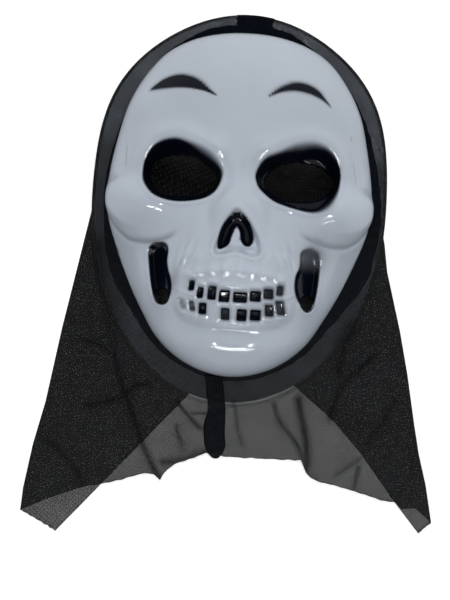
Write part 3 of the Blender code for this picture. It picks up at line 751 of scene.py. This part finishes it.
def rim_hem():
    """Folded edge of the gauze, lying on the rim and climbing the foot of the face's wall; at the jaws it is
    widened as painted shade at the foot of the wall.
    """
    angles = np.linspace(0, WHOLE_TURN, 760, endpoint=False)
    foot = wall_foot(angles)
    x, y = from_hub(foot, angles)
    # painted shade: the dark strip runs wider at the jaws, where shade falls at the foot of the wall
    width = through(HEM_AND_SHADE_WIDTHS, (np.degrees(angles) + 90) % 360 - 90)
    width = width + (0.1 + 0.04 * width) * ripple(x, y, 9, 41)
    crown = step(-40, -30, x) * step(32, 22, x) * (y > HUB[1])
    lump = (0.25 + 0.75 * crown) * np.maximum(ripple(x, y, 7, 43), 0)
    section = [(-0.15 - 0.4 * lump, 2.0 + 2.0 * lump), (0.3 - 0.2 * lump, 1.5 + 0.6 * lump), (0.9, 1.05),
               (0.3 * width + 0.5, 0.8), (0.65 * width, 0.75), (width - 0.5, 0.7), (width - 0.1, 0.45),
               (width, 0.1)]
    out = foot + np.array([d + 0 * foot for d, _ in section])
    z = CLOTH_ON_RIM + np.array([h + 0 * foot for _, h in section])
    z[2:-1] += 0.16 * ripple(x, y, 5, 45)
    points = grid_points(*from_hub(out, angles), z)
    hem = add_mesh("face_hem_and_shade", points, ring_faces(len(angles), len(section)))
    add_vectors(hem, "weave", weave_places(points[:, 0], points[:, 1], HEM_TURNS))
    hem.data.materials.append(dark_cloth())
    thicken(hem, FOLDED_CLOTH)
    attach(hem, "mask")
    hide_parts("rim_hem")


def crown_seam():
    """Overlapped join of the gauze over the rim at the crown."""
    low, high = (math.atan2(BAND_TOP - HUB[1], x) for x in CROWN_PATCH[::-1])
    across = np.linspace(-1, 1, 40)
    down = np.linspace(0, 1, 26)[:, None]
    ragged = 1 + 0.05 * ripple(across * 4 + down * 20, down * 26, 6, 51)
    angles = (low + high) / 2 + (high - low) / 2 * across * ragged
    foot = wall_foot(angles)
    far = band_reach(angles)
    out = foot + 0.5 + (far - foot - 0.5) * down
    x, y = from_hub(out, angles)
    rim = far - BAND_WRAP
    z = front_height(x, y, out - foot, out - rim, np.full(x.shape, BAND_WRAP))
    wrap = step(0, BAND_WRAP, out - rim)
    z = z + (0.5 + 0.12 * ripple(x, y, 4, 52)) * (1 - wrap)
    x, y = x + 0.3 * wrap * np.cos(angles), y + 0.3 * wrap * np.sin(angles)
    points = grid_points(x, y, z)
    patch = add_mesh("crown_overlap", points, ring_faces(40, 26, closed=False))
    add_vectors(patch, "weave", weave_places(points[:, 0], points[:, 1], CROWN_TURNS))
    patch.data.materials.append(dark_cloth())
    thicken(patch, FOLDED_CLOTH)
    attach(patch, "mask")
    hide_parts("crown_seam")


def chin_tab():
    """Seam under the chin, gathered into a soft dark strip with a rounded end."""
    rows, columns = 90, 33
    y = np.linspace(-69, -125.8, rows)[:, None]
    across = np.sin(np.linspace(-1, 1, columns) * math.pi / 2)
    half, middle = through(TAB_HALF, y), through(TAB_MIDDLE, y)
    x = middle + half * across * (1 + 0.04 * ripple(y, across * 20, 14, 61))
    y = y - 1.2 * np.sqrt(np.clip(1 - across ** 2, 0, 1)) * step(-118, -126, y) + 0 * x
    base = FRONT_GROUND - 0.5 + (CLOTH_ON_RIM - FRONT_GROUND + 0.5) * step(-92.5, -86.5, y)
    puff = np.sqrt(np.clip(1 - across ** 2, 0, 1)) * step(-126.5, -122, y)
    gathers = np.cos(WHOLE_TURN * (2.6 * across + 0.2 * ripple(y, across * 12, 22, 62)))
    z = base + 2.6 * puff + 0.45 * gathers * puff + 0.25 * ripple(x, y, 6, 63) * puff
    points = grid_points(x, y, z)
    tab = add_mesh("chin_gather", points, ring_faces(columns, rows, closed=False))
    add_vectors(tab, "weave", points)
    tab.data.materials.append(dark_cloth())
    thicken(tab, FOLDED_CLOTH)
    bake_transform(tab)
    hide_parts("chin_seam_tab")


# ---------------------------------------------------------------- strap and back seam

def strap_line(x):
    """The strap's middle line: straight under the rim, bowed towards the chin between its ends."""
    return STRAP_Y - STRAP_BOW * (1 - (np.minimum(np.abs(x), STRAP_FREE) / STRAP_FREE) ** 2)


def elastic_strap():
    """Flat knitted elastic, with cords along it and a slightly wavy edge."""
    stations, cords = 260, 7
    x = np.linspace(-STRAP_REACH, STRAP_REACH, stations)[:, None]
    y = strap_line(x)
    slope = np.gradient(y[:, 0], x[:, 0])[:, None]
    turn = np.arctan(slope)
    around = np.linspace(0, WHOLE_TURN, 56, endpoint=False)
    side = np.sign(np.cos(around)) * np.abs(np.cos(around)) ** 0.55
    level = np.sign(np.sin(around)) * np.abs(np.sin(around)) ** 0.55
    cord = 0.07 * np.cos(WHOLE_TURN * cords * side / 2)
    wave = 1 + 0.012 * np.sin(WHOLE_TURN * x / 1.9)
    across = STRAP_WIDTH / 2 * side * wave
    up = STRAP_THICKNESS / 2 * level * (1 - 0.1 * side ** 2) + cord * np.sign(level)
    z = STRAP_Z + STRAP_THICKNESS / 2 + up + 0 * x
    px, py = x - np.sin(turn) * across, y + np.cos(turn) * across
    points = grid_points(px, py, z)
    count = len(around)
    ends = [tuple(range(count)), tuple(range((stations - 1) * count, stations * count))[::-1]]
    strap = add_mesh("elastic_band", points, ring_faces(count, stations)[:, ::-1].tolist() + ends)
    strap.data.set_sharp_from_angle(angle=math.radians(60))
    along = np.concatenate([[0], np.cumsum(np.hypot(np.diff(x[:, 0]), np.diff(y[:, 0])))])
    places = np.stack([np.repeat(along, count), np.tile(STRAP_WIDTH / 2 * side, stations), z.ravel()], -1)
    add_vectors(strap, "weave", places)
    strap.data.materials.append(elastic())
    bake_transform(strap)
    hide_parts("elastic_strap", "strap_end_left", "strap_end_right")


def wire(name, points_mm, radius, material, closed=False):
    """A round wire or thread along a route."""
    curve = bpy.data.curves.new(name, "CURVE")
    curve.dimensions = "3D"
    curve.bevel_depth = radius * MM
    curve.bevel_resolution = 3
    curve.use_fill_caps = True
    line = curve.splines.new("POLY")
    line.points.add(len(points_mm) - 1)
    for point, place in zip(line.points, points_mm):
        point.co = (*(v * MM for v in place), 1)
    line.use_cyclic_u = closed
    curve.materials.append(material)
    made = bpy.data.objects.new(name, curve)
    bpy.context.scene.collection.objects.link(made)
    return made


def strap_staples():
    """Bent wire staples that hold the strap's ends up against the rim."""
    steel = staple_steel()
    half_span, corner, wire_radius = 6.35, 0.9, 0.35
    crown_z, leg_z = STRAP_Z - 0.3 - wire_radius, FLANGE_BASE - 0.3
    bend = [(half_span - corner + corner * math.sin(a), crown_z + corner - corner * math.cos(a))
            for a in np.linspace(0, math.pi / 2, 6)]
    right_half = bend + [(half_span, leg_z)]
    route = [(-y, z) for y, z in right_half[::-1]] + right_half
    for side, name in ((-1, "left"), (1, "right")):
        x = side * (STRAP_REACH - 2.5)
        made = wire(f"staple_wire_{name}", [(x, STRAP_Y + y, z) for y, z in route], wire_radius, steel)
        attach(made, "mask")
        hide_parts(f"strap_staple_{name}")


def seam_middle(y):
    """The back seam's middle line, which drifts to the right on its way down."""
    return SEAM_DRIFT * (SEAM_TOP - y) / SEAM_LENGTH


def back_seam():
    """Sewn seam down the middle of the back layer, with overlock stitches across it."""
    rows, columns, half = 150, 9, 3.0
    y = np.linspace(SEAM_TOP, SEAM_TOP - SEAM_LENGTH, rows)[:, None]
    x = seam_middle(y) + half * np.linspace(-1, 1, columns) + 0.25 * ripple(y, 0 * y, 30, 71)
    z = 1.35 + 0.35 * np.cos(math.pi / 2 * np.linspace(-1, 1, columns)) + 0.08 * ripple(x, y, 7, 72) + 0 * y
    points = grid_points(x, y + 0 * x, z)
    seam = add_mesh("back_seam_fold", points, ring_faces(columns, rows, closed=False))
    add_vectors(seam, "weave", points)
    seam.data.materials.append(dark_cloth())
    thicken(seam, 0.25)
    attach(seam, "mask")
    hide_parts("back_seam")
    pitch, clear, stitch_z, thread_radius = 2.4, 1.0, 1.62, 0.16
    route = []
    for i in range(int((SEAM_LENGTH - 2 * clear) / pitch * 2)):
        down = SEAM_TOP - clear - i * pitch / 2
        aside = (half - 0.4) * (1 if i % 2 else -1)
        route.append((seam_middle(down) + aside, down, stitch_z))
    stitches = wire("back_seam_stitches", route, thread_radius, thread())
    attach(stitches, "mask")


# ---------------------------------------------------------------- materials

class Nodes:
    """A short way to build a node material."""

    def __init__(self, name):
        self.material = bpy.data.materials.new(name)
        self.material.use_nodes = True
        self.tree = self.material.node_tree
        self.shader = self.tree.nodes["Principled BSDF"]

    def add(self, kind, **settings):
        node = self.tree.nodes.new(kind)
        for key, value in settings.items():
            if key in node.inputs:
                node.inputs[key].default_value = value
            else:
                setattr(node, key, value)
        return node

    def link(self, a, b):
        self.tree.links.new(a, b)

    def set(self, **values):
        """Constant values on the shader, with _ for the spaces in their names."""
        for name, value in values.items():
            self.shader.inputs[name.replace("_", " ")].default_value = value

    def feed(self, name, socket):
        self.link(socket, self.shader.inputs[name])

    def math(self, operation, a, b=None):
        node = self.tree.nodes.new("ShaderNodeMath")
        node.operation = operation
        for socket, value in zip(node.inputs, (a, b)):
            if value is None:
                continue
            if isinstance(value, (int, float)):
                socket.default_value = value
            else:
                self.link(value, socket)
        return node.outputs[0]

    def value(self, attribute):
        return self.add("ShaderNodeAttribute", attribute_name=attribute).outputs["Fac"]

    def place(self, attribute):
        return self.add("ShaderNodeAttribute", attribute_name=attribute).outputs["Vector"]

    def noise(self, vector, scale, detail=3.0, stretch=None):
        if stretch:
            mapping = self.add("ShaderNodeMapping")
            mapping.inputs["Scale"].default_value = stretch
            self.link(vector, mapping.inputs["Vector"])
            vector = mapping.outputs["Vector"]
        node = self.add("ShaderNodeTexNoise", Scale=scale, Detail=detail)
        self.link(vector, node.inputs["Vector"])
        return node.outputs["Fac"]

    def remap(self, value, low, high, to_low=0.0, to_high=1.0):
        node = self.add("ShaderNodeMapRange")
        for name, number in (("From Min", low), ("From Max", high), ("To Min", to_low), ("To Max", to_high)):
            node.inputs[name].default_value = number
        self.link(value, node.inputs["Value"])
        return node.outputs["Result"]

    def mix(self, factor, first, second):
        """Colour mix; first and second are colours or sockets."""
        node = self.add("ShaderNodeMix", data_type="RGBA")
        for socket, value in ((node.inputs[6], first), (node.inputs[7], second)):
            if isinstance(value, tuple):
                socket.default_value = (*value, 1)
            else:
                self.link(value, socket)
        self.link(factor, node.inputs[0])
        return node.outputs[2]

    def bump(self, height, strength, distance, normal=None):
        node = self.add("ShaderNodeBump")
        node.inputs["Strength"].default_value = strength
        node.inputs["Distance"].default_value = distance
        self.link(height, node.inputs["Height"])
        if normal is not None:
            self.link(normal, node.inputs["Normal"])
        return node.outputs["Normal"]

    def wobble(self, places, scale, reach):
        """The same places, each pushed a little way in a direction of its own."""
        noise = self.add("ShaderNodeTexNoise", Scale=scale, Detail=2.0)
        self.link(places, noise.inputs["Vector"])
        shift = self.add("ShaderNodeVectorMath", operation="MULTIPLY_ADD")
        self.link(noise.outputs["Color"], shift.inputs[0])
        shift.inputs[1].default_value = (reach, reach, 0)
        self.link(places, shift.inputs[2])
        return shift.outputs[0]

    def threads(self, places, pitch):
        """Two waves that cross, one for each thread of a weave; pitch in metres."""
        split = self.add("ShaderNodeSeparateXYZ")
        self.link(places, split.inputs[0])
        waves = []
        for axis in (0, 1):
            turns = self.math("MULTIPLY", split.outputs[axis], WHOLE_TURN / pitch)
            waves.append(self.remap(self.math("SINE", turns), -1, 1))
        return waves


WHITE = (0.66, 0.72, 0.81)
WHITE_SHADE = (0.61, 0.665, 0.745)
BLACK_PAINT = (0.0025, 0.005, 0.012)
# Distance between threads, in metres
GAUZE_PITCH, SCREEN_PITCH, ELASTIC_PITCH = 0.00082, 0.0009, 0.0011
# How much of a thread crossing the gauze covers, from thin places to thick ones
SLUB_LOW, SLUB_HIGH = 2.2, 3.7


def painted_plastic():
    n = Nodes("painted_plastic")
    place = n.add("ShaderNodeTexCoord").outputs["Object"]
    cloud = n.noise(place, 14, 3)
    white = n.mix(n.remap(cloud, 0.35, 0.7), WHITE, WHITE_SHADE)
    specks = n.remap(n.noise(place, 900, 2), 0.76, 0.8, 0, 0.5)
    white = n.mix(specks, white, (0.2, 0.2, 0.21))
    # paint holds the black paint, and painted shade along the cheekbone creases and at the temples
    paint = n.value("paint")
    grain = n.remap(n.noise(place, 1500, 2), 0.3, 0.7, -0.12, 0.12)
    edge = n.math("MULTIPLY", n.math("MULTIPLY", paint, n.math("SUBTRACT", 1.0, paint)), 4.0)
    cover = n.remap(n.math("ADD", paint, n.math("MULTIPLY", grain, edge)), 0.0, 1.0)
    n.feed("Base Color", n.mix(cover, white, BLACK_PAINT))
    n.feed("Roughness", n.remap(n.noise(place, 60, 4), 0.3, 0.7, 0.08, 0.13))
    n.set(IOR=1.46)
    fine = n.bump(n.noise(place, 240, 3), 0.05, 0.0006)
    n.feed("Normal", n.bump(n.noise(place, 45, 2), 0.12, 0.003, fine))
    return n.material


def bare_plastic():
    n = Nodes("bare_plastic")
    place = n.add("ShaderNodeTexCoord").outputs["Object"]
    n.feed("Base Color", n.mix(n.remap(n.noise(place, 18, 4), 0.3, 0.7), WHITE, WHITE_SHADE))
    n.feed("Roughness", n.remap(n.noise(place, 80, 3), 0.3, 0.7, 0.3, 0.45))
    n.feed("Normal", n.bump(n.noise(place, 120, 3), 0.15, 0.001))
    return n.material


@functools.cache
def black_gauze():
    """Thin open weave: between its threads are holes that light passes through."""
    n = Nodes("black_gauze_cloth")
    places = n.place("weave")
    warp, weft = n.threads(n.wobble(places, 420, 0.0011), GAUZE_PITCH)
    open_share = n.math("MULTIPLY", warp, weft)
    slub = n.math("ADD", n.noise(places, 1.0, 2, (1500, 90, 1)), n.noise(places, 1.0, 2, (90, 1500, 1)))
    slub = n.remap(slub, 0.7, 1.3, SLUB_LOW, SLUB_HIGH)
    patchy = n.remap(n.noise(places, 40, 3), 0.3, 0.7, 0.9, 1.1)
    through_one = n.remap(open_share, 0, 1, 0.13, 0.98)
    amount = n.math("MULTIPLY", n.math("MULTIPLY", n.value("layers"), slub), patchy)
    clear = n.math("POWER", through_one, amount)
    n.feed("Alpha", n.math("SUBTRACT", 1.0, clear))
    cloud = n.remap(n.noise(places, 25, 3), 0.35, 0.65)
    thread_colour = n.mix(cloud, (0.0050, 0.0057, 0.0055), (0.0072, 0.0084, 0.0098))
    # painted shade: thread colour darkens as layers rise, so pleats, hems, folds and steep cloth read darker
    folded = n.remap(n.value("layers"), 1.15, 2.6, 0, 0.65)
    thread_colour = n.mix(folded, thread_colour, (0.0005, 0.0006, 0.0007))
    lint = n.remap(n.noise(places, 700, 1), 0.74, 0.82, 0, 0.8)
    thread_colour = n.mix(lint, thread_colour, (0.05, 0.052, 0.05))
    # painted sheen: the glue spots on the rim are drawn in a lighter grey thread colour
    spots = n.remap(n.noise(places, 520, 2), 0.52, 0.66)
    glue_and_sheen_spots = n.math("MULTIPLY", spots, n.value("glue_and_sheen"))
    n.feed("Base Color", n.mix(glue_and_sheen_spots, thread_colour, (0.22, 0.24, 0.24)))
    n.feed("Roughness", n.remap(slub, SLUB_LOW, SLUB_HIGH, 0.9, 0.7))
    n.feed("Normal", n.bump(n.math("ADD", warp, weft), 0.35, 0.0003))
    n.set(Specular_IOR_Level=0.06, Sheen_Weight=0.01)
    return n.material


@functools.cache
def dark_cloth():
    """The same gauze folded over several times, so that nothing shows through."""
    n = Nodes("dark_folded_gauze")
    places = n.place("weave")
    warp, weft = n.threads(places, GAUZE_PITCH)
    weave = n.math("ADD", warp, weft)
    cloud = n.remap(n.noise(places, 60, 4), 0.35, 0.65)
    colour = n.mix(cloud, (0.0014, 0.0024, 0.0044), (0.0030, 0.0048, 0.0084))
    colour = n.mix(n.remap(weave, 0.8, 1.9, 0, 0.4), colour, (0.006, 0.009, 0.014))
    n.feed("Base Color", colour)
    n.feed("Roughness", n.remap(n.noise(places, 300, 2), 0.3, 0.7, 0.7, 0.9))
    n.feed("Normal", n.bump(weave, 0.4, 0.0003))
    n.set(Specular_IOR_Level=0.06, Sheen_Weight=0.01)
    return n.material


@functools.cache
def screen_cloth():
    """Dense black mesh behind the eyes and vents."""
    n = Nodes("eye_screen_cloth")
    places = n.place("weave")
    warp, weft = n.threads(places, SCREEN_PITCH)
    hole = n.remap(n.math("MULTIPLY", warp, weft), 0.35, 0.9, 0, 0.16)
    n.feed("Alpha", n.math("SUBTRACT", 1.0, hole))
    cloud = n.remap(n.noise(places, 70, 3), 0.35, 0.65)
    n.feed("Base Color", n.mix(cloud, (0.0030, 0.0028, 0.0028), (0.0055, 0.0050, 0.0050)))
    n.feed("Roughness", n.remap(n.noise(places, 300, 2), 0.3, 0.7, 0.6, 0.85))
    n.feed("Normal", n.bump(n.math("ADD", warp, weft), 0.5, 0.0003))
    n.set(Specular_IOR_Level=0.12)
    return n.material


def elastic():
    n = Nodes("knitted_elastic")
    places = n.place("weave")
    warp, weft = n.threads(places, ELASTIC_PITCH)
    knit = n.math("MULTIPLY", warp, weft)
    cloud = n.remap(n.noise(places, 120, 3), 0.35, 0.65)
    colour = n.mix(cloud, (0.011, 0.011, 0.012), (0.020, 0.020, 0.022))
    n.feed("Base Color", n.mix(n.remap(knit, 0.2, 1, 0, 0.6), colour, (0.045, 0.045, 0.047)))
    n.feed("Roughness", n.remap(knit, 0, 1, 0.85, 0.6))
    n.feed("Normal", n.bump(knit, 0.6, 0.0003))
    n.set(Sheen_Weight=0.1)
    return n.material


def staple_steel():
    n = Nodes("staple_wire_steel")
    place = n.add("ShaderNodeTexCoord").outputs["Object"]
    streaks = n.noise(place, 1.0, 3, (6000, 300, 300))
    n.feed("Base Color", n.mix(n.remap(streaks, 0.3, 0.7), (0.42, 0.42, 0.43), (0.62, 0.62, 0.63)))
    n.feed("Roughness", n.remap(streaks, 0.3, 0.7, 0.22, 0.42))
    n.feed("Normal", n.bump(streaks, 0.15, 0.0002))
    n.set(Metallic=1.0)
    return n.material


def thread():
    n = Nodes("sewing_thread")
    place = n.add("ShaderNodeTexCoord").outputs["Object"]
    twist = n.noise(place, 1.0, 2, (2500, 900, 2500))
    n.feed("Base Color", n.mix(n.remap(twist, 0.3, 0.7), (0.012, 0.012, 0.013), (0.04, 0.04, 0.043)))
    n.feed("Roughness", n.remap(twist, 0.3, 0.7, 0.6, 0.85))
    n.feed("Normal", n.bump(twist, 0.5, 0.0002))
    return n.material


# ---------------------------------------------------------------- stage

CAMERA_PLACE = (-5.6, -15.9, 620.0)
CAMERA_ROLL = math.radians(3.6)
CAMERA_LENS = 53.1
FLOOR_REACH, FLOOR_Z = 3000, -0.3


def camera():
    data = bpy.data.cameras.new("camera")
    data.lens = CAMERA_LENS
    data.sensor_width = 36
    data.clip_start, data.clip_end = 0.01, 20
    made = bpy.data.objects.new("camera", data)
    made.location = [v * MM for v in CAMERA_PLACE]
    made.rotation_euler = (0, 0, CAMERA_ROLL)
    bpy.context.scene.collection.objects.link(made)
    bpy.context.scene.camera = made


def area_light(name, place, size, energy, seen_in):
    """A soft light aimed at the mask and seen either in its matt shading or in its reflections."""
    data = bpy.data.lights.new(name, "AREA")
    data.shape = "RECTANGLE"
    data.size, data.size_y = size
    data.energy = energy
    made = bpy.data.objects.new(name, data)
    made.location = place
    made.rotation_euler = (-Vector(place)).to_track_quat("-Z", "Y").to_euler()
    made.visible_glossy = seen_in == "reflections"
    made.visible_diffuse = seen_in == "shading"
    bpy.context.scene.collection.objects.link(made)


def stage():
    corners = [(x * FLOOR_REACH, y * FLOOR_REACH, FLOOR_Z) for x, y in ((-1, -1), (1, -1), (1, 1), (-1, 1))]
    floor = add_mesh("floor", corners, [(0, 1, 2, 3)], smooth=False)
    n = Nodes("floor_paper")
    n.set(Base_Color=(0.93, 0.93, 0.93, 1), Roughness=0.9, Specular_IOR_Level=0.1)
    n.set(Emission_Color=(1, 1, 1, 1), Emission_Strength=0.55)
    floor.data.materials.append(n.material)
    # the black paint in the photo mirrors none of the white paper
    floor.visible_glossy = False
    world = bpy.data.worlds.new("world")
    world.use_nodes = True
    world.node_tree.nodes["Background"].inputs["Color"].default_value = (0.95, 0.97, 1.0, 1)
    world.node_tree.nodes["Background"].inputs["Strength"].default_value = 0.3
    bpy.context.scene.world = world
    bpy.context.scene.view_settings.view_transform = "Standard"
    # bright windows beyond the chin for the thin highlights, and soft light from the crown's side and above
    area_light("window_low", (0.05, -1.25, 0.62), (1.8, 0.07), 18, "reflections")
    area_light("window_high", (0.0, -1.2, 0.86), (1.5, 0.07), 18, "reflections")
    area_light("window_left", (-0.75, -0.9, 1.0), (0.3, 0.1), 7, "reflections")
    area_light("window_right", (0.8, -0.75, 0.95), (0.25, 0.08), 5, "reflections")
    area_light("crown_side", (0.3, 1.6, 1.7), (1.8, 1.0), 12, "shading")
    area_light("overhead", (0.0, 0.1, 2.0), (1.5, 1.5), 9, "shading")


def main():
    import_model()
    camera()
    stage()
    face_shell()
    screens()
    hood_back()
    hood_front()
    rim_hem()
    crown_seam()
    chin_tab()
    elastic_strap()
    strap_staples()
    back_seam()


main()
